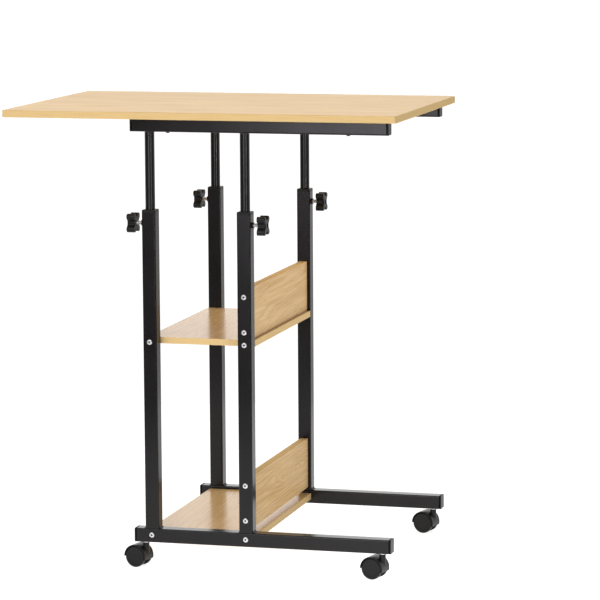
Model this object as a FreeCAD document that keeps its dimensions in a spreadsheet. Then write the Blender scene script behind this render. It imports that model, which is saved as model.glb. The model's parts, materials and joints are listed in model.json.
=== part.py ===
import FreeCAD, Part
import math
import os
import re

import Sketcher

# Laptop table: an oak faced board on two steel side frames, raised and lowered on four round tubes
# that slide in the posts, clamped by star knobs, and rolling on four hooded twin wheel casters.
# Millimetres. The origin is on the floor under the middle of the board, X runs along the board
# towards the feet, Y to the rear frame, Z up.

DRIVING_SIZES = [
    # Boards
    ("board_length", 600, "table top along X"),
    ("board_depth", 400, "table top along Y"),
    ("board_thickness", 10.7, "table top"),
    ("board_corner", 4, "radius of the upright corners of the table top"),
    ("board_overhang", 20.4, "table top past the outer face of each crossbar"),
    ("board_edge", 0.8, "rounding of the table top's long edges"),
    ("shelf_thickness", 9.5, "both shelves"),
    ("upper_shelf_height", 337.9, "floor to the underside of the upper shelf"),
    ("rail_shelf_rise", 1.1, "middle of the lower shelf above that of the rails"),
    ("panel_thickness", 12, "both back panels"),
    ("panel_height", 78, "both back panels"),
    ("panel_inset", 5, "foot side face of a panel behind that of the posts"),
    ("panel_low_screw", 14, "lower panel screws from the panel's lower edge"),
    ("panel_high_margin", 11.5, "upper panel screws from the panel's upper edge"),
    ("lower_panel_height", 65.5, "floor to the lower edge of the lower panel"),
    # Square tubes of the frames
    ("tube_width", 21.1, "outer width of the square tubes of posts and rails"),
    ("bar_width", 19.6, "outer width of the square tubes of the crossbars"),
    ("tube_wall", 1.2, "wall of every square tube"),
    ("tube_corner", 2.2, "outer corner radius of every square tube"),
    ("left_post_reach", 80.3, "origin to the middle of the left posts"),
    ("right_post_reach", 65.5, "origin to the middle of the right posts"),
    ("post_length", 474.8, "post above its rail"),
    ("rail_left_reach", 104.6, "origin to the left end of a rail tube"),
    ("rail_right_reach", 283.1, "origin to the right end of a rail tube"),
    ("bar_left_reach", 104.6, "origin to the left end of a crossbar tube"),
    ("bar_right_reach", 280.6, "origin to the right end of a crossbar tube"),
    ("cap_flange", 3.4, "end cap outside its tube"),
    ("cap_plug", 4.5, "end cap inside its tube"),
    ("cap_wall", 1.5, "wall of the hollow plug of an end cap"),
    ("cap_edge", 0.8, "rounding of an end cap's face"),
    ("cap_groove", 0.9, "width of the groove between an end cap and its tube"),
    ("cap_groove_depth", 1.1, "depth of that groove"),
    # Telescoping tubes
    ("raised_gap", 119.8, "post top to crossbar as the table is set"),
    ("inner_diameter", 14.5, "sliding tube"),
    ("inner_wall", 1, "wall of a sliding tube"),
    ("inner_length", 170, "sliding tube below its crossbar"),
    ("bushing_rim", 4.5, "bushing above its post"),
    ("bushing_depth", 12, "bushing inside its post"),
    ("bushing_edge", 1.8, "rounding of a bushing's rim"),
    ("slide_gap", 0.08, "sliding tube to bushing, all round"),
    ("glide_foot", 6, "glide below its tube"),
    ("glide_plug", 10, "glide inside its tube"),
    ("glide_gap", 0.3, "glide to post, on each side"),
    # Clamps
    ("knob_drop", 15.9, "post top down to the clamp's axis"),
    ("clamp_nut_diameter", 9, "round weld nut of a clamp"),
    ("clamp_nut_height", 2.8, "round weld nut of a clamp"),
    ("stud_diameter", 6, "threaded stud of a knob"),
    ("thread_gap", 0.05, "thread to its nut, all round"),
    ("stud_hole_gap", 0.4, "stud to the hole in the post wall, all round"),
    ("tip_gap", 0.3, "stud tip to the sliding tube"),
    ("tip_chamfer", 0.8, "stud tip"),
    ("stud_free", 7.6, "stud in view between nut and knob"),
    ("stud_socket", 8, "stud inside its knob"),
    ("socket_gap", 0.3, "stud end to the bottom of its socket"),
    ("knob_thickness", 12.5, "star knob"),
    ("knob_hub", 8.8, "radius of a knob between its lobes"),
    ("lobe_reach", 13.2, "knob axis to the middle of a lobe"),
    ("lobe_radius", 4.6, "lobe of a knob"),
    ("lobe_blend", 2, "hollow between lobe and hub"),
    ("knob_edge", 1.6, "rounding of a knob's outer face"),
    ("knob_dimple", 7.8, "diameter of the recess in a knob's face"),
    ("dimple_depth", 2, "recess in a knob's face"),
    # Screws
    ("screw_diameter", 4.8, "shelf and panel screws"),
    ("screw_head", 8.4, "head diameter of shelf and panel screws"),
    ("screw_head_height", 2.6, "head of shelf and panel screws"),
    ("screw_dome", 1.9, "rounding of those heads"),
    ("screw_bite", 25, "shelf and panel screws inside the board"),
    ("screw_key", 3, "width across the flats of the hexagon socket"),
    ("screw_key_depth", 1.5, "hexagon socket"),
    ("screw_clearance", 0.4, "screws to the holes in the tubes, all round"),
    ("pilot_gap", 0.05, "screws to their holes in the boards, all round"),
    ("top_screw_diameter", 4, "table top screws"),
    ("top_screw_head", 8, "head diameter of table top screws"),
    ("top_screw_head_height", 2, "head of table top screws"),
    ("top_screw_bite", 6, "table top screws inside the board"),
    ("top_screw_left", 52, "origin to the left table top screws"),
    ("top_screw_right", 222, "origin to the right table top screws"),
    # Casters
    ("caster_height", 39.3, "floor to the underside of the rails"),
    ("caster_inset", 11.6, "end of a rail tube to the caster's stem"),
    ("caster_swivel", -12, "degrees that the casters are turned from straight ahead"),
    ("wheel_diameter", 32, "caster wheel"),
    ("wheel_width", 6.7, "caster wheel"),
    ("wheel_edge", 1.4, "rounding of a wheel's tread"),
    ("wheel_dish", 0.6, "depth of the dished outer face of a wheel"),
    ("wheel_rim", 2.6, "rim round the dished face"),
    ("wheel_gap", 0.5, "wheel to the web of the hood"),
    ("trail", 13, "stem axis to wheel axis"),
    ("web_width", 12, "web of the hood between the wheels"),
    ("web_clearance", 6, "floor to the web of the hood"),
    ("fender_gap", 0.6, "wheel tread to the fender"),
    ("fender_wall", 1.5, "fender of the hood"),
    ("fender_overlap", 0.3, "fender past the outer face of a wheel"),
    ("fender_edge", 1.1, "rounding of the fender's outer edges"),
    ("skirt_drop", 4.6, "fender below the wheel axis on the stem's side"),
    ("boss_diameter", 9.6, "stem boss of the hood"),
    ("boss_gap", 0.3, "stem collar to the boss below it"),
    ("axle_diameter", 4, "caster axle"),
    ("axle_gap", 0.05, "axle to its bores, all round"),
    ("axle_bite", 5, "axle inside each wheel"),
    ("axle_end_gap", 0.3, "axle end to the bottom of the wheel's bore"),
    ("stem_diameter", 6, "caster stem, pin and thread"),
    ("stem_gap", 0.05, "stem pin to the hood's bore, all round"),
    ("stem_pin", 12, "stem inside the hood"),
    ("stem_collar", 8, "diameter of the collar under the rail"),
    ("stem_collar_height", 2, "collar under the rail"),
    ("stem_tip", 1, "stem above its nut"),
    ("caster_nut_width", 10, "width across the flats of a caster nut"),
    ("caster_nut_height", 5, "caster nut inside the rail"),
]

DERIVED_SIZES = [
    ("half_length", "=board_length / 2"),
    ("half_depth", "=board_depth / 2"),
    ("half_tube", "=tube_width / 2"),
    ("tube_bore", "=half_tube - tube_wall"),
    ("tube_plug_hollow", "=tube_bore - cap_wall"),
    ("tube_neck", "=half_tube - cap_groove_depth"),
    ("half_bar", "=bar_width / 2"),
    ("bar_bore", "=half_bar - tube_wall"),
    ("bar_plug_hollow", "=bar_bore - cap_wall"),
    ("bar_neck", "=half_bar - cap_groove_depth"),
    ("bore_corner", "=tube_corner - tube_wall"),
    ("cap_plate", "=cap_flange - cap_groove"),
    ("half_spacing", "=half_depth - board_overhang - half_bar"),
    ("inner_face", "=half_spacing - half_tube"),
    ("outer_face", "=half_spacing + half_tube"),
    ("rail_middle", "=caster_height + half_tube"),
    ("rail_top", "=caster_height + tube_width"),
    ("post_top", "=rail_top + post_length"),
    ("bar_bottom", "=post_top + raised_gap"),
    ("bar_middle", "=bar_bottom + half_bar"),
    ("board_bottom", "=bar_bottom + bar_width"),
    ("tube_end", "=bar_bottom - inner_length"),
    ("shelf_left", "=left_post_reach + half_tube"),
    ("shelf_right", "=right_post_reach + half_tube"),
    ("half_shelf", "=shelf_thickness / 2"),
    ("lower_screw_height", "=rail_middle + rail_shelf_rise"),
    ("lower_shelf_height", "=lower_screw_height - half_shelf"),
    ("upper_screw_height", "=upper_shelf_height + half_shelf"),
    ("upper_panel_height", "=upper_shelf_height + shelf_thickness"),
    ("panel_foot_face", "=shelf_right - panel_inset"),
    ("panel_high_screw", "=panel_height - panel_high_margin"),
    ("panel_screw_back", "=panel_foot_face - right_post_reach"),
    ("screw_radius", "=screw_diameter / 2"),
    ("screw_head_radius", "=screw_head / 2"),
    ("screw_reach", "=tube_width + screw_bite"),
    ("screw_hole", "=screw_radius + screw_clearance"),
    ("pilot_hole", "=screw_radius + pilot_gap"),
    ("key_corner", "=screw_key / sqrt(3)"),
    ("half_key_corner", "=key_corner / 2"),
    ("half_key", "=screw_key / 2"),
    ("top_screw_radius", "=top_screw_diameter / 2"),
    ("top_screw_head_radius", "=top_screw_head / 2"),
    ("top_screw_reach", "=bar_width + top_screw_bite"),
    ("top_screw_hole", "=top_screw_radius + screw_clearance"),
    ("top_pilot_hole", "=top_screw_radius + pilot_gap"),
    ("inner_radius", "=inner_diameter / 2"),
    ("inner_bore", "=inner_radius - inner_wall"),
    ("bushing_bore", "=inner_radius + slide_gap"),
    ("half_glide", "=tube_bore - glide_gap"),
    ("clamp_height", "=post_top - knob_drop"),
    ("clamp_nut_radius", "=clamp_nut_diameter / 2"),
    ("stud_radius", "=stud_diameter / 2"),
    ("stud_thread", "=stud_radius + thread_gap"),
    ("stud_hole", "=stud_radius + stud_hole_gap"),
    ("tip_radius", "=stud_radius - tip_chamfer"),
    ("stud_inside", "=half_tube - inner_radius - tip_gap"),
    ("knob_offset", "=half_tube + clamp_nut_height + stud_free"),
    ("stud_start", "=inner_radius + tip_gap"),
    ("stud_length", "=knob_offset + stud_socket - stud_start"),
    ("socket_depth", "=stud_socket + socket_gap"),
    ("dimple_radius", "=knob_dimple / 2"),
    ("left_stem", "=rail_left_reach - caster_inset"),
    ("right_stem", "=rail_right_reach - caster_inset"),
    ("swivel_cosine", "=cos(caster_swivel * 1 deg)"),
    ("swivel_sine", "=sin(caster_swivel * 1 deg)"),
    ("wheel_radius", "=wheel_diameter / 2"),
    ("half_web", "=web_width / 2"),
    ("wheel_offset", "=half_web + wheel_gap"),
    ("hood_width", "=2 * (wheel_offset + wheel_width + fender_overlap)"),
    ("fender_inside", "=wheel_radius + fender_gap"),
    ("fender_outside", "=fender_inside + fender_wall"),
    ("web_radius", "=wheel_radius - web_clearance"),
    ("boss_radius", "=boss_diameter / 2"),
    ("boss_top", "=caster_height - stem_collar_height - boss_gap"),
    ("boss_length", "=boss_top - wheel_radius"),
    ("stem_bore", "=stem_diameter / 2 + stem_gap"),
    ("stem_bore_depth", "=stem_pin"),
    ("axle_radius", "=axle_diameter / 2"),
    ("axle_bore", "=axle_radius + axle_gap"),
    ("axle_half_length", "=wheel_offset + axle_bite"),
    ("axle_length", "=2 * axle_half_length"),
    ("axle_bore_depth", "=axle_bite + axle_end_gap"),
    ("wheel_shoulder", "=wheel_width - wheel_edge"),
    ("wheel_dish_face", "=wheel_width - wheel_dish"),
    ("dish_outer", "=wheel_radius - wheel_edge - wheel_rim"),
    ("tread_inner", "=wheel_radius - wheel_edge"),
    ("stem_radius", "=stem_diameter / 2"),
    ("stem_collar_radius", "=stem_collar / 2"),
    ("stem_hole", "=stem_radius + screw_clearance"),
    ("stem_thread", "=tube_wall + caster_nut_height + stem_tip"),
    ("stem_pin_end", "=stem_collar_height + stem_pin"),
    ("caster_nut_bottom", "=caster_height + tube_wall"),
    ("caster_nut_corner", "=caster_nut_width / sqrt(3)"),
    ("half_nut_corner", "=caster_nut_corner / 2"),
    ("half_nut", "=caster_nut_width / 2"),
    ("caster_nut_bore", "=stem_radius + thread_gap"),
]

doc = FreeCAD.newDocument("LaptopTable")
sheet = doc.addObject("Spreadsheet::Sheet", "Sizes")
nodes = []

X_AXIS = FreeCAD.Vector(1, 0, 0)
Y_AXIS = FreeCAD.Vector(0, 1, 0)
Z_AXIS = FreeCAD.Vector(0, 0, 1)
AS_MODELLED = FreeCAD.Rotation()
TURNED_AROUND = FreeCAD.Rotation(Z_AXIS, 180)
TO_THE_REAR = FreeCAD.Rotation(Z_AXIS, 90)
TO_THE_FRONT = FreeCAD.Rotation(Z_AXIS, -90)
UPWARDS = FreeCAD.Rotation(Y_AXIS, -90)
DOWNWARDS = FreeCAD.Rotation(Y_AXIS, 90)
WORD = re.compile(r"[a-z_]{2,}")
TERM = re.compile(r"([+-]?)\s*([a-z_]+|[0-9.]+)")
NEAR = 0.001


def fill_sheet():
    row = 1
    for alias, size, note in DRIVING_SIZES:
        sheet.set(f"A{row}", alias)
        sheet.set(f"B{row}", str(size))
        sheet.set(f"C{row}", note)
        sheet.setAlias(f"B{row}", alias)
        row += 1
    for alias, formula in DERIVED_SIZES:
        sheet.set(f"A{row}", alias)
        sheet.set(f"B{row}", formula)
        sheet.setAlias(f"B{row}", alias)
        row += 1
    doc.recompute()


def bound(formula):
    """The formula with each word turned into a reference to the sheet."""
    return WORD.sub(lambda word: "Sizes." + word.group(0), formula)


def amount(formula):
    """The number that a sum of sheet sizes comes to as the sheet stands."""
    total = 0.0
    for sign, term in TERM.findall(formula):
        size = float(term) if term[0].isdigit() else float(getattr(sheet, term))
        total += -size if sign == "-" else size
    return total


def new_body(label, place=("0", "0", "0"), turn=AS_MODELLED):
    body = doc.addObject("PartDesign::Body", label)
    body.Label = label
    body.Placement = FreeCAD.Placement(FreeCAD.Vector(*[amount(axis) for axis in place]), turn)
    for axis, formula in zip("xyz", place):
        body.setExpression(f"Placement.Base.{axis}", bound(formula))
    return body


def swivel(body, quarter_turn=0):
    """Turn a caster piece about the upright stem, with the swivel angle of the sheet."""
    body.setExpression("Placement.Rotation.Angle", bound(f"caster_swivel + {quarter_turn}"))


def origin_feature(body, role):
    return next(feature for feature in body.Origin.OriginFeatures if feature.Role == role)


def new_sketch(body, role, lift=None):
    sketch = body.newObject("Sketcher::SketchObject", "Sketch")
    sketch.AttachmentSupport = [(origin_feature(body, role), "")]
    sketch.MapMode = "FlatFace"
    if lift:
        sketch.setExpression("AttachmentOffset.Base.z", bound(lift))
    return sketch


def pin(sketch, geometry, point, across, up):
    """Hold one point of the sketch at a place given by the sheet."""
    for kind, formula in (("DistanceX", across), ("DistanceY", up)):
        index = sketch.addConstraint(
            Sketcher.Constraint(kind, -1, 1, geometry, point, amount(formula)))
        sketch.setExpression(f"Constraints[{index}]", bound(formula))


def set_radius(sketch, geometry, radius):
    index = sketch.addConstraint(Sketcher.Constraint("Radius", geometry, amount(radius)))
    sketch.setExpression(f"Constraints[{index}]", bound(radius))


def point(across, up):
    return FreeCAD.Vector(amount(across), amount(up), 0)


def draw_polygon(sketch, corners):
    first = sketch.GeometryCount
    count = len(corners)
    for number in range(count):
        ends = [point(*corners[number]), point(*corners[(number + 1) % count])]
        sketch.addGeometry(Part.LineSegment(*ends), False)
    for number in range(count):
        following = first + (number + 1) % count
        sketch.addConstraint(Sketcher.Constraint("Coincident", first + number, 2, following, 1))
        pin(sketch, first + number, 1, *corners[number])


def draw_rectangle(sketch, left, right, low, high):
    draw_polygon(sketch, [(left, low), (right, low), (right, high), (left, high)])


def draw_square(sketch, half):
    draw_rectangle(sketch, f"-{half}", half, f"-{half}", half)


def draw_hexagon(sketch, corner, half_corner, half_width):
    draw_polygon(sketch, [(corner, "0"), (half_corner, half_width), (f"-{half_corner}", half_width),
                          (f"-{corner}", "0"), (f"-{half_corner}", f"-{half_width}"),
                          (half_corner, f"-{half_width}")])


def draw_circle(sketch, radius, across="0", up="0"):
    middle = point(across, up)
    geometry = sketch.addGeometry(Part.Circle(middle, Z_AXIS, amount(radius)), False)
    pin(sketch, geometry, 3, across, up)
    set_radius(sketch, geometry, radius)


def draw_half_arc(sketch, radius, across, up, drop="0"):
    """An upper half circle: its far end is level with its middle, its near end lower by a drop."""
    circle = Part.Circle(point(across, up), Z_AXIS, amount(radius))
    near_angle = -math.asin(amount(drop) / amount(radius))
    arc = sketch.addGeometry(Part.ArcOfCircle(circle, near_angle, math.pi), False)
    pin(sketch, arc, 3, across, up)
    set_radius(sketch, arc, radius)
    for end, height in ((1, f"{up} - {drop}"), (2, up)):
        index = sketch.addConstraint(Sketcher.Constraint("DistanceY", -1, 1, arc, end, amount(height)))
        sketch.setExpression(f"Constraints[{index}]", bound(height))
    return arc


def join(sketch, first, first_end, second, second_end):
    """A straight line between the ends of two curves."""
    ends = [sketch.getPoint(first, first_end), sketch.getPoint(second, second_end)]
    line = sketch.addGeometry(Part.LineSegment(*ends), False)
    sketch.addConstraint(Sketcher.Constraint("Coincident", line, 1, first, first_end))
    sketch.addConstraint(Sketcher.Constraint("Coincident", line, 2, second, second_end))


def draw_half_disc(sketch, radius, across, up):
    arc = draw_half_arc(sketch, radius, across, up)
    join(sketch, arc, 1, arc, 2)


def draw_half_ring(sketch, outside, inside, across, up, drop):
    outer = draw_half_arc(sketch, outside, across, up, drop)
    inner = draw_half_arc(sketch, inside, across, up, drop)
    join(sketch, outer, 1, inner, 1)
    join(sketch, outer, 2, inner, 2)


def draw_arm(sketch, reach, radius):
    """A bar from the axis outwards with a round end."""
    circle = Part.Circle(point(reach, "0"), Z_AXIS, amount(radius))
    tip = sketch.addGeometry(Part.ArcOfCircle(circle, -math.pi / 2, math.pi / 2), False)
    pin(sketch, tip, 3, reach, "0")
    pin(sketch, tip, 1, reach, f"-{radius}")
    index = sketch.addConstraint(Sketcher.Constraint("DistanceX", -1, 1, tip, 2, amount(reach)))
    sketch.setExpression(f"Constraints[{index}]", bound(reach))
    root = sketch.addGeometry(Part.LineSegment(point("0", radius), point("0", f"-{radius}")), False)
    pin(sketch, root, 1, "0", radius)
    pin(sketch, root, 2, "0", f"-{radius}")
    join(sketch, tip, 2, root, 1)
    join(sketch, root, 2, tip, 1)


def extrude(body, kind, sketch, length, symmetric=False, reverse=False):
    feature = body.newObject(f"PartDesign::{kind}", kind)
    feature.Profile = sketch
    feature.setExpression("Length", bound(length))
    if symmetric:
        feature.SideType = "Symmetric"
    feature.Reversed = reverse
    return feature


def pad(body, sketch, length, symmetric=False, reverse=False):
    return extrude(body, "Pad", sketch, length, symmetric, reverse)


def pocket(body, sketch, length, symmetric=False, reverse=False):
    """A cut that has to take something away."""
    doc.recompute()
    before = body.Shape.Volume
    feature = extrude(body, "Pocket", sketch, length, symmetric, reverse)
    doc.recompute()
    if body.Shape.Volume > before - NEAR:
        raise RuntimeError(f"{body.Label}: a pocket cuts nothing")
    return feature


def revolve(body, sketch):
    feature = body.newObject("PartDesign::Revolution", "Revolution")
    feature.Profile = sketch
    feature.ReferenceAxis = (sketch, ["H_Axis"])
    feature.Angle = 360
    return feature


def edge_names(feature, wanted):
    """Names of the edges of a feature that pass a test."""
    doc.recompute()
    edges = enumerate(feature.Shape.Edges, start=1)
    return [f"Edge{number}" for number, edge in edges if wanted(edge)]


def fillet(body, feature, radius, wanted):
    rounding = body.newObject("PartDesign::Fillet", "Fillet")
    rounding.Base = (feature, edge_names(feature, wanted))
    rounding.setExpression("Radius", bound(radius))
    return rounding


def runs_along(edge, axis):
    """Whether an edge is a straight one along an axis."""
    if not isinstance(edge.Curve, Part.Line):
        return False
    return abs(abs(edge.Curve.Direction.dot(axis)) - 1) < NEAR


def lies_at(edge, axis, height):
    """Whether a whole edge lies in one plane square to an axis."""
    box = edge.BoundBox
    low = FreeCAD.Vector(box.XMin, box.YMin, box.ZMin).dot(axis)
    high = FreeCAD.Vector(box.XMax, box.YMax, box.ZMax).dot(axis)
    return abs(low - height) < NEAR and abs(high - height) < NEAR


def off_axis(edge, axis):
    """Distance of an edge's middle from an axis through the origin."""
    middle = edge.CenterOfMass
    return (middle - axis * middle.dot(axis)).Length


def add_node(body):
    nodes.append(body)
    return body


def add_group(label, bodies):
    """Identical fasteners of one kind as one node of separate solids."""
    group = doc.addObject("Part::Compound", label)
    group.Label = label
    group.Links = bodies
    return add_node(group)


def square_tube(body, kind, role, axis, start, length):
    """A square tube with rounded corners, along one axis of its body. Its kind is tube or bar."""
    profile = new_sketch(body, role, start)
    draw_square(profile, f"half_{kind}")
    draw_square(profile, f"{kind}_bore")
    tube = pad(body, profile, length)
    limit = (amount(f"half_{kind}") + amount(f"{kind}_bore")) / math.sqrt(2)
    outside = fillet(body, tube, "tube_corner",
                     lambda edge: runs_along(edge, axis) and off_axis(edge, axis) > limit)
    return fillet(body, outside, "bore_corner",
                  lambda edge: runs_along(edge, axis) and off_axis(edge, axis) < limit
                  and edge.BoundBox.DiagonalLength > amount("tube_width")
                  and abs(off_axis(edge, axis) - amount(f"{kind}_bore") * math.sqrt(2)) < NEAR)


def cross_holes(body, role, places, radius, length):
    """Round holes right through a piece, symmetric about its middle plane."""
    holes = new_sketch(body, role)
    for across, up in places:
        draw_circle(holes, radius, across, up)
    pocket(body, holes, length, symmetric=True)


def side_y(side):
    """Place of the front or rear frame's middle plane."""
    return "-half_spacing" if side == "front" else "half_spacing"


def table_top():
    body = add_node(new_body("table_top", ("0", "0", "board_bottom")))
    outline = new_sketch(body, "XY_Plane")
    draw_rectangle(outline, "-half_length", "half_length", "-half_depth", "half_depth")
    board = pad(body, outline, "board_thickness")
    corners = fillet(body, board, "board_corner", lambda edge: runs_along(edge, Z_AXIS))
    top = amount("board_thickness")
    fillet(body, corners, "board_edge",
           lambda edge: lies_at(edge, Z_AXIS, 0) or lies_at(edge, Z_AXIS, top))
    pilots = new_sketch(body, "XY_Plane")
    for across in ("-top_screw_left", "top_screw_right"):
        for up in ("-half_spacing", "half_spacing"):
            draw_circle(pilots, "top_pilot_hole", across, up)
    pocket(body, pilots, "top_screw_bite", reverse=True)


def crossbar(side):
    body = add_node(new_body(f"{side}_crossbar", ("0", side_y(side), "bar_middle")))
    square_tube(body, "bar", "YZ_Plane", X_AXIS, "-bar_left_reach", "bar_left_reach + bar_right_reach")
    places = [("-top_screw_left", "0"), ("top_screw_right", "0")]
    cross_holes(body, "XY_Plane", places, "top_screw_hole", "bar_width")


def foot_rail(side):
    body = add_node(new_body(f"{side}_foot_rail", ("0", side_y(side), "rail_middle")))
    square_tube(body, "tube", "YZ_Plane", X_AXIS, "-rail_left_reach", "rail_left_reach + rail_right_reach")
    places = [("-left_post_reach", "rail_shelf_rise"), ("right_post_reach", "rail_shelf_rise")]
    cross_holes(body, "XZ_Plane", places, "screw_hole", "tube_width")
    stems = new_sketch(body, "XY_Plane", "-half_tube")
    draw_circle(stems, "stem_hole", "-left_stem")
    draw_circle(stems, "stem_hole", "right_stem")
    pocket(body, stems, "tube_wall", reverse=True)


def end_cap(label, kind, place, turn):
    """A moulded cap: a plate on a narrower neck at the tube's end, a hollow plug inside. X points outwards."""
    body = new_body(label, place, turn)
    neck = new_sketch(body, "YZ_Plane")
    draw_square(neck, f"{kind}_neck")
    pad(body, neck, "cap_groove")
    cover = new_sketch(body, "YZ_Plane", "cap_groove")
    draw_square(cover, f"half_{kind}")
    plate = pad(body, cover, "cap_plate")
    face = amount("cap_flange")
    outer_corner = amount(f"half_{kind}") * math.sqrt(2)
    corners = fillet(body, plate, "tube_corner",
                     lambda edge: runs_along(edge, X_AXIS)
                     and off_axis(edge, X_AXIS) > outer_corner - NEAR)
    fillet(body, corners, "cap_edge", lambda edge: lies_at(edge, X_AXIS, face))
    plug = new_sketch(body, "YZ_Plane")
    draw_square(plug, f"{kind}_bore")
    draw_square(plug, f"{kind}_plug_hollow")
    ring = pad(body, plug, "cap_plug", reverse=True)
    corner = amount(f"{kind}_bore") * math.sqrt(2)
    fillet(body, ring, "bore_corner",
           lambda edge: runs_along(edge, X_AXIS) and abs(off_axis(edge, X_AXIS) - corner) < NEAR)
    return body


def end_caps(side, piece, kind, left, right, height):
    caps = [end_cap(f"{side}_{piece}_left_cap", kind, (f"-{left}", side_y(side), height), TURNED_AROUND),
            end_cap(f"{side}_{piece}_right_cap", kind, (right, side_y(side), height), AS_MODELLED)]
    add_group(f"{side}_{piece}_end_caps", caps)


def post_middle(hand):
    return "-left_post_reach" if hand == "left" else "right_post_reach"


def post(side, hand):
    """A post with its screw holes and, on its outer face, the hole for the clamp's stud."""
    body = add_node(new_body(f"{side}_{hand}_post", (post_middle(hand), side_y(side), "rail_top")))
    square_tube(body, "tube", "XY_Plane", Z_AXIS, "0", "post_length")
    heights = ["upper_screw_height"]
    if hand == "right":
        for panel in ("lower_panel_height", "upper_panel_height"):
            heights += [f"{panel} + panel_low_screw", f"{panel} + panel_high_screw"]
    places = [("0", f"{height} - rail_top") for height in heights]
    cross_holes(body, "XZ_Plane", places, "screw_hole", "tube_width")
    stud = new_sketch(body, "YZ_Plane", "-tube_bore" if hand == "left" else "tube_bore")
    draw_circle(stud, "stud_hole", "0", "clamp_height - rail_top")
    pocket(body, stud, "tube_wall", reverse=(hand == "right"))


def post_bushing(side, hand):
    """A plastic collar: its rim on the post's end, its skirt inside, bored for the sliding tube."""
    place = (post_middle(hand), side_y(side), "post_top")
    body = add_node(new_body(f"{side}_{hand}_post_bushing", place))
    rim = new_sketch(body, "XY_Plane")
    draw_square(rim, "half_tube")
    draw_circle(rim, "bushing_bore")
    collar = pad(body, rim, "bushing_rim")
    corners = fillet(body, collar, "tube_corner", lambda edge: runs_along(edge, Z_AXIS)
                     and off_axis(edge, Z_AXIS) > amount("half_tube"))
    top = amount("bushing_rim")
    fillet(body, corners, "bushing_edge", lambda edge: lies_at(edge, Z_AXIS, top)
           and edge.BoundBox.Center.Length > amount("bushing_bore"))
    skirt = new_sketch(body, "XY_Plane")
    draw_square(skirt, "tube_bore")
    draw_circle(skirt, "bushing_bore")
    sleeve = pad(body, skirt, "bushing_depth", reverse=True)
    corner = amount("tube_bore") * math.sqrt(2)
    fillet(body, sleeve, "bore_corner",
           lambda edge: runs_along(edge, Z_AXIS) and abs(off_axis(edge, Z_AXIS) - corner) < NEAR)


def inner_tube(side, hand):
    place = (post_middle(hand), side_y(side), "tube_end")
    body = add_node(new_body(f"{side}_{hand}_inner_tube", place))
    ring = new_sketch(body, "XY_Plane")
    draw_circle(ring, "inner_radius")
    draw_circle(ring, "inner_bore")
    pad(body, ring, "inner_length")


def glide(side, hand):
    """A plastic foot that closes a sliding tube and guides it in the post."""
    place = (post_middle(hand), side_y(side), "tube_end")
    body = new_body(f"{side}_{hand}_glide", place)
    foot = new_sketch(body, "XY_Plane")
    draw_square(foot, "half_glide")
    block = pad(body, foot, "glide_foot", reverse=True)
    fillet(body, block, "tube_corner", lambda edge: runs_along(edge, Z_AXIS))
    plug = new_sketch(body, "XY_Plane")
    draw_circle(plug, "inner_bore")
    pad(body, plug, "glide_plug")
    return body


def shelf(label, height):
    """A shelf between the two frames, drilled in both ends for its screws."""
    body = add_node(new_body(label, ("0", "0", height)))
    outline = new_sketch(body, "XY_Plane")
    draw_rectangle(outline, "-shelf_left", "shelf_right", "-inner_face", "inner_face")
    pad(body, outline, "shelf_thickness")
    places = [("-left_post_reach", "half_shelf"), ("right_post_reach", "half_shelf")]
    end_pilots(body, places)


def back_panel(label, height):
    """An upright panel between the right posts, drilled in both ends for its screws."""
    body = add_node(new_body(label, ("panel_foot_face", "0", height)))
    outline = new_sketch(body, "XY_Plane")
    draw_rectangle(outline, "-panel_thickness", "0", "-inner_face", "inner_face")
    pad(body, outline, "panel_height")
    across = "-panel_screw_back"
    end_pilots(body, [(across, "panel_low_screw"), (across, "panel_high_screw")])


def end_pilots(body, places):
    """Pilot holes along Y from both ends of a board."""
    for lift, reverse in (("inner_face", False), ("-inner_face", True)):
        pilots = new_sketch(body, "XZ_Plane", lift)
        for across, up in places:
            draw_circle(pilots, "pilot_hole", across, up)
        pocket(body, pilots, "screw_bite", reverse=reverse)


def button_screw(label, place, turn):
    """A screw with a domed head and a hexagon socket, pointing along its own X from under the head."""
    body = new_body(label, place, turn)
    profile = new_sketch(body, "XY_Plane")
    draw_polygon(profile, [("-screw_head_height", "0"), ("-screw_head_height", "screw_head_radius"),
                           ("0", "screw_head_radius"), ("0", "screw_radius"),
                           ("screw_reach", "screw_radius"), ("screw_reach", "0")])
    turned = revolve(body, profile)
    face = -amount("screw_head_height")
    fillet(body, turned, "screw_dome", lambda edge: lies_at(edge, X_AXIS, face))
    key = new_sketch(body, "YZ_Plane", "-screw_head_height")
    draw_hexagon(key, "key_corner", "half_key_corner", "half_key")
    pocket(body, key, "screw_key_depth", reverse=True)
    return body


def screw_pair(label, across, height):
    """A front and a rear screw at the same place on both frames, driven towards each other."""
    return [button_screw(f"front_{label}", (across, "-outer_face", height), TO_THE_REAR),
            button_screw(f"rear_{label}", (across, "outer_face", height), TO_THE_FRONT)]


def shelf_screws():
    screws = []
    for level, height in (("upper", "upper_screw_height"), ("lower", "lower_screw_height")):
        for hand in ("left", "right"):
            screws += screw_pair(f"{level}_{hand}_shelf_screw", post_middle(hand), height)
    add_group("shelf_screws", screws)


def panel_screws():
    screws = []
    for panel in ("lower", "upper"):
        for row in ("low", "high"):
            height = f"{panel}_panel_height + panel_{row}_screw"
            screws += screw_pair(f"{panel}_panel_{row}_screw", "right_post_reach", height)
    add_group("panel_screws", screws)


def top_screw(label, place):
    body = new_body(label, place, UPWARDS)
    profile = new_sketch(body, "XY_Plane")
    draw_polygon(profile, [("-top_screw_head_height", "0"),
                           ("-top_screw_head_height", "top_screw_radius"),
                           ("0", "top_screw_head_radius"), ("0", "top_screw_radius"),
                           ("top_screw_reach", "top_screw_radius"), ("top_screw_reach", "0")])
    revolve(body, profile)
    return body


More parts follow.
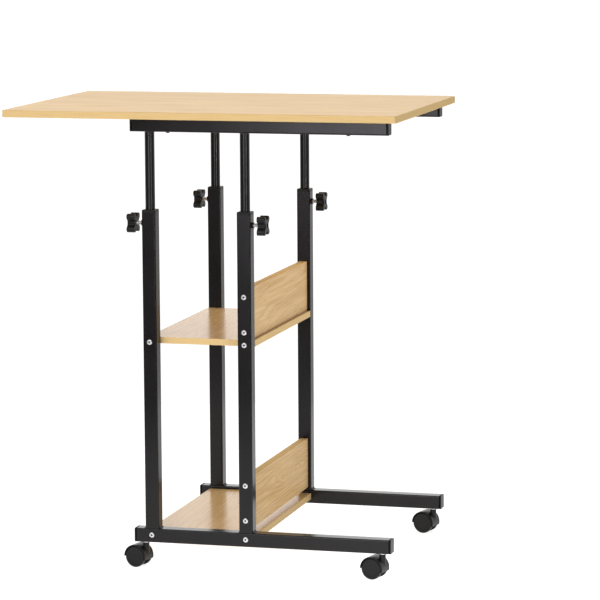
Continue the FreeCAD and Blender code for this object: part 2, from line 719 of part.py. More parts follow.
def table_top_screws():
    screws = []
    for side in ("front", "rear"):
        for hand, across in (("left", "-top_screw_left"), ("right", "top_screw_right")):
            screws.append(top_screw(f"{side}_{hand}_top_screw", (across, side_y(side), "bar_bottom")))
    add_group("table_top_screws", screws)


def outwards(hand, distance):
    """A place along X at a distance from the post's middle, on the clamp's side of it."""
    return f"-left_post_reach - {distance}" if hand == "left" else f"right_post_reach + {distance}"


def facing(hand):
    return TURNED_AROUND if hand == "left" else AS_MODELLED


def clamp_nut(side, hand):
    place = (outwards(hand, "half_tube"), side_y(side), "clamp_height")
    body = new_body(f"{side}_{hand}_clamp_nut", place, facing(hand))
    ring = new_sketch(body, "YZ_Plane")
    draw_circle(ring, "clamp_nut_radius")
    draw_circle(ring, "stud_thread")
    pad(body, ring, "clamp_nut_height")
    return body


def clamp_stud(side, hand):
    """A threaded stud with a chamfered tip just clear of the sliding tube."""
    place = (outwards(hand, "stud_start"), side_y(side), "clamp_height")
    body = add_node(new_body(f"{side}_{hand}_clamp_stud", place, facing(hand)))
    profile = new_sketch(body, "XY_Plane")
    draw_polygon(profile, [("0", "0"), ("0", "tip_radius"), ("tip_chamfer", "stud_radius"),
                           ("stud_length", "stud_radius"), ("stud_length", "0")])
    revolve(body, profile)


def star_knob(side, hand):
    """A moulded knob with four lobes, a dimple in its face and a socket for its stud."""
    place = (outwards(hand, "knob_offset"), side_y(side), "clamp_height")
    lobes_on_the_diagonals = FreeCAD.Rotation(X_AXIS, 45)
    turn = facing(hand).multiply(lobes_on_the_diagonals)
    body = add_node(new_body(f"{side}_{hand}_knob", place, turn))
    hub = new_sketch(body, "YZ_Plane")
    draw_circle(hub, "knob_hub")
    pad(body, hub, "knob_thickness")
    arm = new_sketch(body, "YZ_Plane")
    draw_arm(arm, "lobe_reach", "lobe_radius")
    lobe = pad(body, arm, "knob_thickness")
    doc.recompute()
    star = body.newObject("PartDesign::PolarPattern", "PolarPattern")
    star.Originals = [lobe]
    star.Axis = (origin_feature(body, "X_Axis"), [""])
    star.Angle = 360
    star.Occurrences = 4
    body.Tip = star
    hub_radius = amount("knob_hub")
    hollows = fillet(body, star, "lobe_blend",
                     lambda edge: runs_along(edge, X_AXIS) and off_axis(edge, X_AXIS) < hub_radius + NEAR)
    face = amount("knob_thickness")
    fillet(body, hollows, "knob_edge", lambda edge: lies_at(edge, X_AXIS, face))
    socket = new_sketch(body, "YZ_Plane")
    draw_circle(socket, "stud_thread")
    pocket(body, socket, "socket_depth", reverse=True)
    dimple = new_sketch(body, "YZ_Plane", "knob_thickness")
    draw_circle(dimple, "dimple_radius")
    pocket(body, dimple, "dimple_depth")


def stem_place(side, end, height="0"):
    return ("-left_stem" if end == "left" else "right_stem", side_y(side), height)


def caster_nut(side, end):
    body = new_body(f"{side}_{end}_caster_nut", stem_place(side, end, "caster_nut_bottom"))
    outline = new_sketch(body, "XY_Plane")
    draw_hexagon(outline, "caster_nut_corner", "half_nut_corner", "half_nut")
    draw_circle(outline, "caster_nut_bore")
    pad(body, outline, "caster_nut_height")
    return body


def caster_stem(side, end):
    """A turned stem: thread above the collar, plain pin below it."""
    place = stem_place(side, end, "caster_height")
    body = add_node(new_body(f"{side}_{end}_caster_stem", place, DOWNWARDS))
    profile = new_sketch(body, "XY_Plane")
    draw_polygon(profile, [("-stem_thread", "0"), ("-stem_thread", "stem_radius"),
                           ("0", "stem_radius"), ("0", "stem_collar_radius"),
                           ("stem_collar_height", "stem_collar_radius"),
                           ("stem_collar_height", "stem_radius"),
                           ("stem_pin_end", "stem_radius"), ("stem_pin_end", "0")])
    revolve(body, profile)


def caster_hood(side, end):
    """A moulded hood: a fender with a longer skirt in front, a web between the wheels and a stem boss."""
    body = add_node(new_body(f"{side}_{end}_caster_hood", stem_place(side, end)))
    swivel(body)
    arch = new_sketch(body, "XZ_Plane")
    draw_half_ring(arch, "fender_outside", "fender_inside", "-trail", "wheel_radius", "skirt_drop")
    fender = pad(body, arch, "hood_width", symmetric=True)
    outer_radius = amount("fender_outside")
    fillet(body, fender, "fender_edge", lambda edge: isinstance(edge.Curve, Part.Circle)
           and abs(edge.Curve.Radius - outer_radius) < NEAR)
    cheek = new_sketch(body, "XZ_Plane")
    draw_half_disc(cheek, "fender_outside", "-trail", "wheel_radius")
    pad(body, cheek, "web_width", symmetric=True)
    keel = new_sketch(body, "XZ_Plane")
    draw_circle(keel, "web_radius", "-trail", "wheel_radius")
    pad(body, keel, "web_width", symmetric=True)
    boss = new_sketch(body, "XY_Plane", "wheel_radius")
    draw_circle(boss, "boss_radius")
    pad(body, boss, "boss_length")
    bore = new_sketch(body, "XY_Plane", "boss_top")
    draw_circle(bore, "stem_bore")
    pocket(body, bore, "stem_bore_depth")
    cross_holes(body, "XZ_Plane", [("-trail", "wheel_radius")], "axle_bore", "web_width")


def axle_place(side, end, sideways):
    """A place on the wheel axis, a distance to the side of the swivelled caster's middle plane."""
    across, along, _ = stem_place(side, end)
    return (f"{across} - trail * swivel_cosine - ({sideways}) * swivel_sine",
            f"{along} - trail * swivel_sine + ({sideways}) * swivel_cosine", "wheel_radius")


def swivelled_body(label, side, end, sideways, quarter_turn):
    """A turned caster piece whose own X lies along the wheel axis."""
    body = add_node(doc.addObject("PartDesign::Body", label))
    body.Label = label
    for axis, formula in zip("xyz", axle_place(side, end, sideways)):
        body.setExpression(f"Placement.Base.{axis}", bound(formula))
    swivel(body, quarter_turn)
    return body


def caster_axle(side, end):
    label = f"{side}_{end}_caster_axle"
    body = swivelled_body(label, side, end, "-axle_half_length", 90)
    profile = new_sketch(body, "XY_Plane")
    draw_rectangle(profile, "0", "axle_length", "0", "axle_radius")
    revolve(body, profile)


def caster_wheel(side, end, face):
    """A wheel with a rounded tread and a dished outer face, bored from inside. X points outwards."""
    label = f"{side}_{end}_caster_{face}_wheel"
    sideways, quarter_turn = ("wheel_offset", 90) if face == "rear" else ("-wheel_offset", -90)
    body = swivelled_body(label, side, end, sideways, quarter_turn)
    profile = new_sketch(body, "XY_Plane")
    draw_polygon(profile, [("0", "axle_bore"), ("0", "tread_inner"),
                           ("wheel_edge", "wheel_radius"), ("wheel_shoulder", "wheel_radius"),
                           ("wheel_width", "tread_inner"), ("wheel_width", "dish_outer"),
                           ("wheel_dish_face", "dish_outer - wheel_dish"), ("wheel_dish_face", "0"),
                           ("axle_bore_depth", "0"), ("axle_bore_depth", "axle_bore")])
    revolve(body, profile)


def build():
    corners = [(side, hand) for side in ("front", "rear") for hand in ("left", "right")]
    table_top()
    table_top_screws()
    for side in ("front", "rear"):
        crossbar(side)
        end_caps(side, "crossbar", "bar", "bar_left_reach", "bar_right_reach", "bar_middle")
        foot_rail(side)
        end_caps(side, "rail", "tube", "rail_left_reach", "rail_right_reach", "rail_middle")
    for side, hand in corners:
        inner_tube(side, hand)
        post(side, hand)
        post_bushing(side, hand)
        clamp_stud(side, hand)
        star_knob(side, hand)
        caster_stem(side, hand)
        caster_hood(side, hand)
        caster_axle(side, hand)
        caster_wheel(side, hand, "front")
        caster_wheel(side, hand, "rear")
    add_group("inner_tube_glides", [glide(side, hand) for side, hand in corners])
    add_group("clamp_nuts", [clamp_nut(side, hand) for side, hand in corners])
    add_group("caster_nuts", [caster_nut(side, end) for side, end in corners])
    shelf("upper_shelf", "upper_shelf_height")
    shelf("lower_shelf", "lower_shelf_height")
    back_panel("upper_back_panel", "upper_panel_height")
    back_panel("lower_back_panel", "lower_panel_height")
    shelf_screws()
    panel_screws()
    doc.recompute()


def check():
    for item in doc.Objects:
        if "Invalid" in item.State or "Error" in item.State:
            raise RuntimeError(f"{item.Label} did not build: {item.State}")
    for node in nodes:
        if node.Shape.isNull() or not node.Shape.isValid():
            raise RuntimeError(f"{node.Label} has no valid shape")


def export():
    os.makedirs("parts", exist_ok=True)
    for node in nodes:
        node.Shape.exportStep(os.path.join("parts", f"{node.Label}.step"))
    print(f"{len(nodes)} nodes written")


fill_sheet()
build()
check()
export()
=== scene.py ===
import json
import math

import bmesh
import bpy
from mathutils import Matrix, Vector


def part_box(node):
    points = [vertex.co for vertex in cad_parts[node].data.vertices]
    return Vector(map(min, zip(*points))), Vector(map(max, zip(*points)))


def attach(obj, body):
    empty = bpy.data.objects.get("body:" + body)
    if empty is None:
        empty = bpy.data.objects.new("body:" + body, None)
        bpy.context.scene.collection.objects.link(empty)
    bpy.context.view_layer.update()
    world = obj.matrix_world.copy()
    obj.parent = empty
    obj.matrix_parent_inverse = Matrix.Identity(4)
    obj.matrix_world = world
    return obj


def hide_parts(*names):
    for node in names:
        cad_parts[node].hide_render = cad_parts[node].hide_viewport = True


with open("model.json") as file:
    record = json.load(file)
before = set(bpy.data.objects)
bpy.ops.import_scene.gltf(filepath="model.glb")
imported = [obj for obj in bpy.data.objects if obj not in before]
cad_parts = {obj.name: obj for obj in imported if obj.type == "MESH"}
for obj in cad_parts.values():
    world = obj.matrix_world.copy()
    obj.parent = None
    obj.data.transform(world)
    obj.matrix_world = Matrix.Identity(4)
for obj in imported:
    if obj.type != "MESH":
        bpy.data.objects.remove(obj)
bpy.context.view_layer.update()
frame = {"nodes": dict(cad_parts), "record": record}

SIDES = ("front", "rear")
HANDS = ("left", "right")
CORNERS = [(side, hand) for side in SIDES for hand in HANDS]
BASE = "base_frame"
TOP = "sliding_top"

# Node trees


class Nodes:
    """A node tree, and short calls to add nodes to it."""

    def __init__(self, tree):
        self.tree = tree

    def node(self, kind, **settings):
        made = self.tree.nodes.new(kind)
        for key, setting in settings.items():
            setattr(made, key, setting)
        return made

    def feed(self, socket, source):
        """Give a socket a number, a colour or another node's output."""
        if isinstance(source, bpy.types.NodeSocket):
            self.tree.links.new(source, socket)
        else:
            socket.default_value = source

    def axes(self, vector):
        """The X, Y and Z of a vector, as sockets by name."""
        split = self.node("ShaderNodeSeparateXYZ")
        self.feed(split.inputs["Vector"], vector)
        return split.outputs

    def coordinates(self, kind="Object"):
        """A point's place in the object's own metres, or another kind of texture coordinates."""
        return self.node("ShaderNodeTexCoord").outputs[kind]

    def reckon(self, operation, first, second=0.0):
        """What a math node gives for one or two numbers."""
        made = self.node("ShaderNodeMath", operation=operation)
        self.feed(made.inputs[0], first)
        self.feed(made.inputs[1], second)
        return made.outputs["Value"]

    def plus(self, first, second):
        return self.reckon("ADD", first, second)

    def times(self, first, second):
        return self.reckon("MULTIPLY", first, second)

    def ramp(self, factor, low, high, low_value=0.0, high_value=1.0):
        """A straight rise or fall between two values, level past them."""
        made = self.node("ShaderNodeMapRange", clamp=True)
        self.feed(made.inputs["Value"], factor)
        for socket, number in zip(("From Min", "From Max", "To Min", "To Max"),
                                  (low, high, low_value, high_value)):
            self.feed(made.inputs[socket], number)
        return made.outputs["Result"]


class Shader(Nodes):
    """The nodes of a material round its principled shader."""

    def __init__(self, name):
        self.material = bpy.data.materials.new(name)
        self.material.use_nodes = True
        super().__init__(self.material.node_tree)
        self.surface = self.tree.nodes["Principled BSDF"]

    def place(self, scale=(1, 1, 1), shift=(0, 0, 0)):
        """The object's own coordinates in metres, stretched and shifted."""
        mapping = self.node("ShaderNodeMapping")
        self.feed(mapping.inputs["Vector"], self.coordinates())
        self.feed(mapping.inputs["Location"], shift)
        self.feed(mapping.inputs["Scale"], scale)
        return mapping.outputs["Vector"]

    def noise(self, vector, scale, detail=3.0, roughness=0.5):
        made = self.node("ShaderNodeTexNoise")
        self.feed(made.inputs["Vector"], vector)
        self.feed(made.inputs["Scale"], scale)
        self.feed(made.inputs["Detail"], detail)
        self.feed(made.inputs["Roughness"], roughness)
        return made.outputs["Fac"]

    def mix(self, factor, first, second):
        """A colour between two colours."""
        made = self.node("ShaderNodeMix", data_type="RGBA")
        sockets = {socket.identifier: socket for socket in (*made.inputs, *made.outputs)}
        self.feed(sockets["Factor_Float"], factor)
        self.feed(sockets["A_Color"], first)
        self.feed(sockets["B_Color"], second)
        return sockets["Result_Color"]

    def bump(self, height, strength, distance):
        made = self.node("ShaderNodeBump")
        self.feed(made.inputs["Height"], height)
        self.feed(made.inputs["Strength"], strength)
        self.feed(made.inputs["Distance"], distance)
        self.feed(self.surface.inputs["Normal"], made.outputs["Normal"])

    def finish(self, **inputs):
        """Feed the shader's sockets, named in lower case with underscores, and give the material."""
        for name, source in inputs.items():
            socket = name.replace("_", " ").title().replace("Ior", "IOR")
            self.feed(self.surface.inputs[socket], source)
        return self.material


def toned(colour, tone):
    """A colour made lighter or darker."""
    return tuple(part * tone for part in colour) + (1,)


def grey(tone):
    return (tone, tone, tone, 1)


# Camera, light and floor


def place_camera():
    """The photograph's viewpoint, fitted to its edges: a long lens, to the right of the front and a little
    above."""
    place = (1.3658, -4.6999, 1.0594)
    yaw, pitch, roll = (math.radians(angle) for angle in (15.0476, -7.87, 0.3255))
    forward = Vector((-math.sin(yaw) * math.cos(pitch), math.cos(yaw) * math.cos(pitch), math.sin(pitch)))
    level = Vector((math.cos(yaw), math.sin(yaw), 0))
    down = forward.cross(level)
    right = level * math.cos(roll) + down * math.sin(roll)
    up = level * math.sin(roll) - down * math.cos(roll)
    data = bpy.data.cameras.new("camera")
    data.lens = 193.92
    data.sensor_width = 36
    data.clip_end = 50
    camera = bpy.data.objects.new("camera", data)
    bpy.context.scene.collection.objects.link(camera)
    turn = Matrix((right, up, -forward)).transposed().to_4x4()
    camera.matrix_world = Matrix.Translation(place) @ turn
    bpy.context.scene.camera = camera


def soft_light(name, place, size, power, shade_tone=(1.0, 1.0, 1.0)):
    """A rectangle of light that faces the middle of the object."""
    middle = Vector((0, 0, 0.4))
    data = bpy.data.lights.new(name, "AREA")
    data.shape = "RECTANGLE"
    data.size, data.size_y = size
    data.energy = power
    data.color = shade_tone
    light = bpy.data.objects.new(name, data)
    bpy.context.scene.collection.objects.link(light)
    light.location = place
    light.rotation_euler = (middle - Vector(place)).to_track_quat("-Z", "Y").to_euler()


def room_glow(room):
    """How bright the room is by direction: weak in front, strong behind, weaker to the right and strongest
    above the horizon."""
    direction = room.axes(room.coordinates("Generated"))
    backwards = room.ramp(direction["Y"], -0.1, 0.55, 0.07, 1.05)
    rightwards = room.ramp(direction["X"], -0.1, 0.2, 1.0, 0.72)
    upwards = room.ramp(direction["Z"], 0.0, 0.08, 1.0, 1.5)
    return room.times(room.times(backwards, rightwards), upwards)


def light_studio():
    """A white backdrop in a room whose light is weak in front, with soft lights above, in front and at the
    sides."""
    bpy.context.scene.view_settings.view_transform = "Standard"
    world = bpy.data.worlds.new("studio")
    world.use_nodes = True
    room = Nodes(world.node_tree)
    backdrop_white = 1.1
    strength = room.node("ShaderNodeMix")
    room.feed(strength.inputs["Factor"], room.node("ShaderNodeLightPath").outputs["Is Camera Ray"])
    room.feed(strength.inputs["A"], room_glow(room))
    room.feed(strength.inputs["B"], backdrop_white)
    background = room.tree.nodes["Background"]
    room.feed(background.inputs["Color"], grey(1.0))
    room.feed(background.inputs["Strength"], strength.outputs["Result"])
    bpy.context.scene.world = world
    soft_light("overhead", place=(0.1, -0.3, 2.6), size=(2.6, 2.2), power=7)
    soft_light("front", place=(-0.7, -3.0, 2.2), size=(2.2, 1.6), power=52)
    soft_light("right window", place=(2.53, -2.42, 0.3), size=(0.4, 0.6), power=12)
    soft_light("left window", place=(-0.38, -3.47, 0.57), size=(0.8, 0.9), power=17, shade_tone=(0.98, 0.94, 1.0))


def lay_floor():
    """A round sheet of pale paper that glows, so that it meets the white backdrop without an edge. It glows
    most in a pool in front of the right foot, which the front rail reflects."""
    mesh = bpy.data.meshes.new("floor")
    shape = bmesh.new()
    bmesh.ops.create_circle(shape, cap_ends=True, segments=96, radius=1.3)
    shape.to_mesh(mesh)
    shape.free()
    floor = bpy.data.objects.new("floor", mesh)
    bpy.context.scene.collection.objects.link(floor)
    paint = Shader("floor paper")
    here = paint.place()
    tone = paint.mix(paint.noise(here, scale=3.0), grey(0.42), grey(0.46))
    pool_middle = (0.38, -0.48, 0.0)
    distance = paint.node("ShaderNodeVectorMath", operation="DISTANCE")
    paint.feed(distance.inputs[0], here)
    paint.feed(distance.inputs[1], pool_middle)
    glow = paint.ramp(distance.outputs["Value"], 0.1, 0.6, 1.5, 0.86)
    paint.finish(base_color=tone, roughness=0.9, emission_color=grey(1.0), emission_strength=glow)
    mesh.materials.append(paint.material)


# Finishes

PALE_OAK, TAN_OAK, LINE_OAK = (0.93, 0.65, 0.32), (0.78, 0.50, 0.205), (0.60, 0.34, 0.125)
PALE_BAND, TAN_BAND = (0.89, 0.63, 0.29), (0.76, 0.48, 0.18)
# Painted shade: the dark colour of the line along a board's foot, where it sits on the shelf
PAINTED_CONTACT_SHADE = (0.06, 0.025, 0.008, 1)
RING_SPACING = 0.0048
LEAF_WIDTH = 0.075
EYE_LENGTH = 0.09
EYE_DEPTH = 0.022


def oak(name, axes, seed, contrast, roughness, eye, ior, tilt=0.0, wander=0.3, shade_tone=1.0, edge_shade_tone=1.0, foot=None):
    """Printed oak on a board: flat sawn growth rings round an eye, streaks and pores along the grain, and a
    plain band on the edges. The axes are along the grain, across it and out of the face. The leaves of rings
    tilt across the board and their eyes wander along it. The two tone factors, for the body and the band,
    darken a board as painted shade for the less light that falls on it. A board with a foot has painted
    shade there: a dark line where it sits on the shelf."""
    grain, across, face = axes
    paint = Shader(name)
    place = paint.axes(paint.coordinates())
    along = place[grain]

    def figure(length, width, shift=0.0, detail=2.0):
        """Noise in spots of this length along the grain and this width across it."""
        stretch = tuple(1 / length if axis == grain else 1 / width for axis in "XYZ")
        spots = paint.place(stretch, (seed + shift, seed, seed - shift))
        return paint.noise(spots, scale=1.0, detail=detail, roughness=0.6)

    sway = paint.ramp(figure(length=0.40, width=0.12), 0.2, 0.8, -0.02, 0.02)
    bend = paint.plus(paint.times(along, -tilt), sway)
    beside = paint.plus(paint.plus(place[across], -eye[1]), bend)
    leaf = paint.reckon("PINGPONG", beside, LEAF_WIDTH)
    drift = paint.ramp(figure(length=0.34, width=0.14, shift=5.0), 0.2, 0.8, -wander, wander)
    past_eye = paint.plus(paint.plus(along, -eye[0]), drift)
    depth = paint.times(paint.reckon("TANH", paint.times(past_eye, 1 / EYE_LENGTH)), EYE_DEPTH)
    squares = paint.plus(paint.reckon("POWER", depth, 2.0), paint.reckon("POWER", leaf, 2.0))
    radius = paint.reckon("POWER", squares, 0.5)
    unevenness = figure(length=0.12, width=0.016, shift=2.0, detail=3.0)
    phase = paint.plus(paint.times(radius, 1 / RING_SPACING), unevenness)
    strength = paint.ramp(figure(length=0.16, width=0.03, shift=3.0), 0.34, 0.66, 0.25, 1.0)
    rings = paint.times(paint.ramp(paint.reckon("FRACT", phase), 0.35, 0.97), strength)
    streaks = paint.ramp(figure(length=0.16, width=0.006, shift=4.0, detail=4.0), 0.35, 0.66)
    pores = paint.ramp(figure(length=0.05, width=0.0018, shift=6.0), 0.5, 0.72)

    streak_share = min(1.8 * contrast, 1.0)
    pore_share = 0.7 * contrast
    body = paint.mix(paint.times(streaks, streak_share), toned(PALE_OAK, shade_tone), toned(TAN_OAK, shade_tone))
    ringed = paint.mix(paint.times(rings, contrast), body, toned(LINE_OAK, shade_tone))
    figured = paint.mix(paint.times(pores, pore_share), ringed, toned(LINE_OAK, shade_tone))
    # Painted shade: a dark line along the board's foot, where it meets the shelf
    if foot is not None:
        shade_line_top, soft_top, darkness = foot + 0.0006, foot + 0.0012, 0.75
        shade_line = paint.ramp(place["Z"], shade_line_top, soft_top, darkness, 0.0)
        figured = paint.mix(shade_line, figured, PAINTED_CONTACT_SHADE)

    normal = paint.axes(paint.node("ShaderNodeNewGeometry").outputs["Normal"])
    on_edge = paint.ramp(paint.reckon("ABSOLUTE", normal[face]), 0.35, 0.65, 1.0, 0.0)
    band = paint.mix(paint.times(pores, 0.35), toned(PALE_BAND, edge_shade_tone), toned(TAN_BAND, edge_shade_tone))
    sheen = paint.plus(paint.ramp(pores, 0.0, 1.0, roughness, roughness + 0.08), paint.times(on_edge, 0.4))
    paint.bump(paint.times(pores, -1.0), strength=0.06, distance=0.0002)
    return paint.finish(base_color=paint.mix(on_edge, figured, band), roughness=sheen, ior=ior)


def coated_steel(name, shade, roughness, gloss, peel_depth=0.05):
    """Black coating, a little purple, with a fine orange peel and some unevenness in its sheen."""
    paint = Shader(name)
    here = paint.place()
    peel = paint.noise(here, scale=900.0, detail=2.0)
    patches = paint.noise(here, scale=24.0, detail=3.0)
    tone = paint.mix(patches, toned((0.85, 0.77, 0.81), shade), toned((1.2, 1.08, 1.14), shade))
    sheen = paint.ramp(patches, 0.3, 0.7, roughness - 0.015, roughness + 0.015)
    paint.bump(peel, strength=peel_depth, distance=0.0001)
    return paint.finish(base_color=tone, roughness=sheen, specular_ior_level=gloss)


def moulded_plastic(name, shade, roughness, shade_lines=()):
    """Black plastic with the fine spark grain of its mould, and painted shade, dull black lines, at these
    places along X.
    """
    shade_line_reach, soft_reach = 0.0009, 0.0011
    paint = Shader(name)
    here = paint.place()
    grain = paint.noise(here, scale=1600.0, detail=1.0)
    patches = paint.noise(here, scale=60.0, detail=2.0)
    tone = paint.mix(patches, toned((0.85, 0.85, 0.85), shade), toned((1.25, 1.25, 1.3), shade))
    sheen = paint.ramp(grain, 0.3, 0.7, roughness - 0.06, roughness + 0.06)
    # Painted shade: a dull black line round each place along X, where the groove's shadow falls
    for shade_line in shade_lines:
        distance = paint.reckon("ABSOLUTE", paint.plus(paint.axes(here)["X"], -shade_line))
        near = paint.ramp(distance, shade_line_reach, soft_reach, 1.0, 0.0)
        tone = paint.mix(near, tone, grey(0.001))
        sheen = paint.reckon("MAXIMUM", sheen, near)
    paint.bump(grain, strength=0.18, distance=0.0002)
    return paint.finish(base_color=tone, roughness=sheen, specular_ior_level=0.2)


def cap_plastic(name, tube):
    """The plastic of a tube's two end caps, with painted shade in the grooves where they meet the tube."""
    low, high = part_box(tube)
    past_end = 0.0009
    return moulded_plastic(name, shade=0.009, roughness=0.38, shade_lines=(low.x - past_end, high.x + past_end))


def zinc(name, shade, crown=None):
    """Zinc plating, bright or blackened, with faint cloudy patches. Screw heads that reach out to a crown
    along Y get painted shade, dull and dark, in their sockets, which reaches round their rims too."""
    paint = Shader(name)
    here = paint.place()
    clouds = paint.noise(here, scale=260.0, detail=3.0)
    tone = paint.mix(clouds, grey(shade * 0.9), grey(shade * 1.1))
    sheen = paint.ramp(clouds, 0.3, 0.7, 0.34, 0.44)
    # Painted shade: the sockets, and with them the rims, are made dark and dull
    if crown:
        socket_shade_top, unshaded_from = crown - 0.0012, crown - 0.0006
        out = paint.reckon("ABSOLUTE", paint.axes(here)["Y"])
        socket_shade = paint.ramp(out, socket_shade_top, unshaded_from, 1.0, 0.0)
        tone = paint.mix(socket_shade, tone, grey(shade * 0.22))
        sheen = paint.reckon("MAXIMUM", sheen, socket_shade)
    paint.bump(clouds, strength=0.05, distance=0.0001)
    return paint.finish(base_color=tone, roughness=sheen, metallic=0.75)


def build_boards():
    """The finish of each board. The grain runs along the table top, and along Y on the others."""
    panel_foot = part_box("upper_back_panel")[0].z
    # The tone factors darken some boards as painted shade for the less light that falls on them, most of all
    # the lower panel and the lower shelf's edges
    return {
        "table_top": oak(
            "oak top", "XYZ", seed=1.0, contrast=0.5, roughness=0.38, eye=(-0.1, 0.04), ior=1.14, edge_shade_tone=0.97),
        "upper_shelf": oak(
            "oak upper shelf", "YXZ", seed=2.0, contrast=0.36, roughness=0.22, eye=(0.0, -0.02), ior=1.22,
            wander=0.2, shade_tone=0.72, edge_shade_tone=0.89),
        "lower_shelf": oak(
            "oak lower shelf", "YXZ", seed=2.0, contrast=0.40, roughness=0.22, eye=(0.0, -0.02), ior=1.24,
            wander=0.2, shade_tone=0.8, edge_shade_tone=0.66),
        "upper_back_panel": oak(
            "oak upper panel", "YZX", seed=3.0, contrast=0.55, roughness=0.42, eye=(0.3, 0.40), ior=1.24,
            tilt=0.11, wander=0.03, shade_tone=0.955, edge_shade_tone=0.8, foot=panel_foot),
        "lower_back_panel": oak(
            "oak lower panel", "YZX", seed=4.0, contrast=0.62, roughness=0.46, eye=(0.06, 0.108), ior=1.2,
            wander=0.02, shade_tone=0.80, edge_shade_tone=0.8),
    }


def build_slots():
    """The finish of each material slot of the record, apart from the boards'."""
    return {
        "black_steel": coated_steel("black coated steel", shade=0.0095, roughness=0.21, gloss=0.23),
        "black_tube": coated_steel(
            "black gloss tube", shade=0.006, roughness=0.28, gloss=0.45, peel_depth=0.0),
        "zinc_steel": zinc("zinc plated steel", shade=0.73),
        "black_plastic": moulded_plastic("black plastic", shade=0.008, roughness=0.38),
        "caster_plastic": moulded_plastic("caster plastic", shade=0.010, roughness=0.34),
    }


def build_small_parts():
    """The finishes of screws and end caps, by their nodes."""
    bright_screw = zinc("zinc plated screw", shade=0.68, crown=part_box("shelf_screws")[1].y)
    finishes = {
        "table_top_screws": zinc("blackened screw", shade=0.03),
        "shelf_screws": bright_screw,
        "panel_screws": bright_screw,
    }
    for kind, tube in (("rail", "front_foot_rail"), ("crossbar", "front_crossbar")):
        plastic = cap_plastic(f"{kind} cap plastic", tube)
        for side in SIDES:
            finishes[f"{side}_{kind}_end_caps"] = plastic
    return finishes


def dress_nodes(slots):
    """Give every CAD node the finish of its material slot, and boards, screws and end caps their own."""
    own = build_boards() | build_small_parts()
    slot_names = {entry["node"]: entry["material_slot"] for entry in frame["record"]["subparts"]}
    for name, node in frame["nodes"].items():
        node.data.materials.clear()
        node.data.materials.append(own[name] if name in own else slots[slot_names[name]])


# Pieces that the scene adds


def add_piece(name, shape, finish, body):
    """Turn a finished mesh into a smooth piece that rides on a body."""
    bmesh.ops.recalc_face_normals(shape, faces=shape.faces)
    for face in shape.faces:
        face.smooth = True
    mesh = bpy.data.meshes.new(name)
    shape.to_mesh(mesh)
    shape.free()
    mesh.materials.append(finish)
    piece = bpy.data.objects.new(name, mesh)
    bpy.context.scene.collection.objects.link(piece)
    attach(piece, body)
    return piece


def skin(rings, closed=False):
    """A surface over rings of points: round to the first ring, or with both ends filled."""
    shape = bmesh.new()
    rows = [[shape.verts.new(point) for point in ring] for ring in rings]
    following = rows[1:] + rows[:1] if closed else rows[1:]
    for near, far in zip(rows, following):
        for index, corner in enumerate(near):
            beside = (index + 1) % len(near)
            shape.faces.new((corner, near[beside], far[beside], far[index]))
    if not closed:
        shape.faces.new(rows[0])
        shape.faces.new(rows[-1])
    return shape


def fillet_section(leg):
    """A hollow bead in a corner, as (out, up): its buried corner, then its face from wall to wall."""
    sunk, flatness = 0.00015, 0.6
    steps = 6
    curve = []
    for step in range(steps + 1):
        turn = math.pi / 2 * step / steps
        hollow = Vector((1 - math.sin(turn), 1 - math.cos(turn)))
        straight = Vector((1 - step / steps, step / steps))
        curve.append(tuple(leg * hollow.lerp(straight, flatness) - Vector((sunk, sunk))))
    return [(-sunk * 2, -sunk * 2)] + curve


def ripple(along):
    """The overlapping scallops of a weld, as a factor on its size."""
    pitch, swell = 0.0017, 0.16
    return 1 + swell * abs(math.sin(math.pi * along / pitch))


def post_welds(side, hand, finish):
    """A bead on each side of a post's foot, along the top of the foot rail."""
    low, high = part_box(f"{side}_{hand}_post")
    middle = (low.y + high.y) / 2
    half_length, full_leg = 0.0088, 0.0030
    bluntness, thin_end = 9, 0.12
    steps = 72
    for end, wall, outwards in (("left", low.x, -1), ("right", high.x, 1)):
        rings = []
        for step in range(steps + 1):
            along = half_length * (2 * step / steps - 1)
            taper = max(1 - abs(along / half_length) ** bluntness, thin_end)
            section = fillet_section(full_leg * ripple(along) * taper)
            rings.append([(wall + outwards * out, middle + along, low.z + up) for out, up in section])
        add_piece(f"{side}_{hand}_post_weld_{end}", skin(rings), finish, BASE)


def tube_weld(side, hand, finish):
    """The ring of weld that holds a sliding tube under its crossbar."""
    low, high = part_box(f"{side}_{hand}_inner_tube")
    radius = (high.x - low.x) / 2
    centre = (low + high) / 2
    full_leg = 0.0011
    steps = 160
    rings = []
    for step in range(steps):
        turn = math.tau * step / steps
        section = fillet_section(full_leg * ripple(turn * radius))
        rings.append([(centre.x + (radius + out) * math.cos(turn), centre.y + (radius + out) * math.sin(turn),
                       high.z - up) for out, up in section])
    add_piece(f"{side}_{hand}_tube_weld", skin(rings, closed=True), finish, TOP)


def thread_depth(turns):
    """How deep a thread is cut this many turns from a root: 0 on its flat crest, 1 in its flat root."""
    from_crest = abs(turns % 1 - 0.5) * 2
    steepness, crest_flat = 1.3, 0.15
    return min(max(steepness * from_crest - crest_flat, 0), 1)


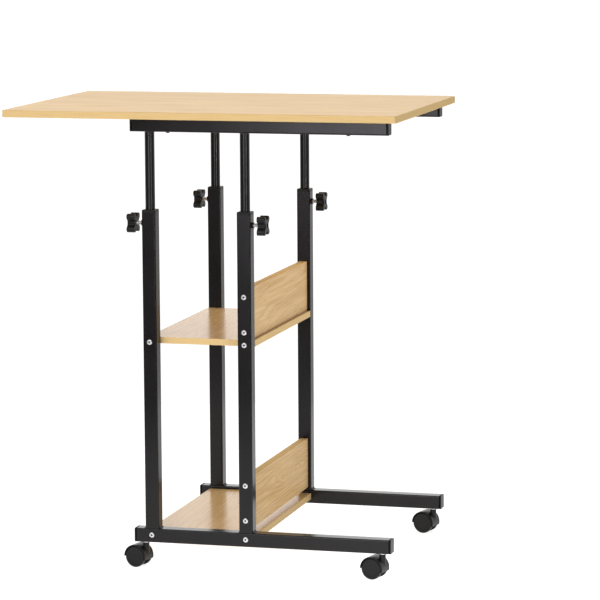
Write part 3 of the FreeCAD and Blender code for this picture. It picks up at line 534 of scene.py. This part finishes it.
def stud_thread(side, hand, finish):
    """The clamp's stud with its thread cut: a wave that winds round it, up to a chamfered tip."""
    node = f"{side}_{hand}_clamp_stud"
    low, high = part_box(node)
    radius = (high.z - low.z) / 2
    centre = (low + high) / 2
    pitch, depth, tip_chamfer = 0.001, 0.0005, 0.0008
    around, rings_a_turn = 28, 8
    inwards = 1 if hand == "left" else -1
    length = high.x - low.x
    tip = high.x if hand == "left" else low.x
    steps = round(length / pitch * rings_a_turn)
    rings = []
    for step in range(steps + 1):
        back = length * step / steps
        chamfered = radius - max(tip_chamfer - back, 0)
        ring = []
        for corner in range(around):
            turn = math.tau * corner / around
            reach = min(radius - depth * thread_depth(back / pitch + corner / around), chamfered)
            ring.append((tip - inwards * back, centre.y + reach * math.cos(turn),
                         centre.z + reach * math.sin(turn)))
        rings.append(ring)
    piece = add_piece(f"{side}_{hand}_stud_thread", skin(rings), finish,
                      f"{side}_{hand}_clamp_screw")
    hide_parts(node)


def knob_cap(side, hand, finish):
    """The moulded button in the dimple of a knob: a rim, a groove and a low dome, as (reach, rise)."""
    low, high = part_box(f"{side}_{hand}_knob")
    centre = (low + high) / 2
    dimple_depth = 0.002
    outwards = -1 if hand == "left" else 1
    floor = (low.x if hand == "left" else high.x) - outwards * dimple_depth
    profile = [(0.0037, -0.0001), (0.0037, 0.0006), (0.0034, 0.0009), (0.0029, 0.0009), (0.0026, 0.0004),
               (0.0023, 0.0004), (0.0020, 0.0011), (0.0012, 0.0014), (0.0004, 0.0015)]
    around = 48
    turns = [math.tau * corner / around for corner in range(around)]
    rings = [[(floor + outwards * rise, centre.y + reach * math.cos(turn), centre.z + reach * math.sin(turn))
              for turn in turns] for reach, rise in profile]
    add_piece(f"{side}_{hand}_knob_cap", skin(rings), finish, f"{side}_{hand}_star_knob")


def add_details(slots):
    knob_plastic = moulded_plastic("knob cap plastic", shade=0.03, roughness=0.4)
    for side, hand in CORNERS:
        post_welds(side, hand, slots["black_steel"])
        tube_weld(side, hand, slots["black_tube"])
        stud_thread(side, hand, slots["zinc_steel"])
        knob_cap(side, hand, knob_plastic)


place_camera()
light_studio()
lay_floor()
slot_finishes = build_slots()
dress_nodes(slot_finishes)
add_details(slot_finishes)
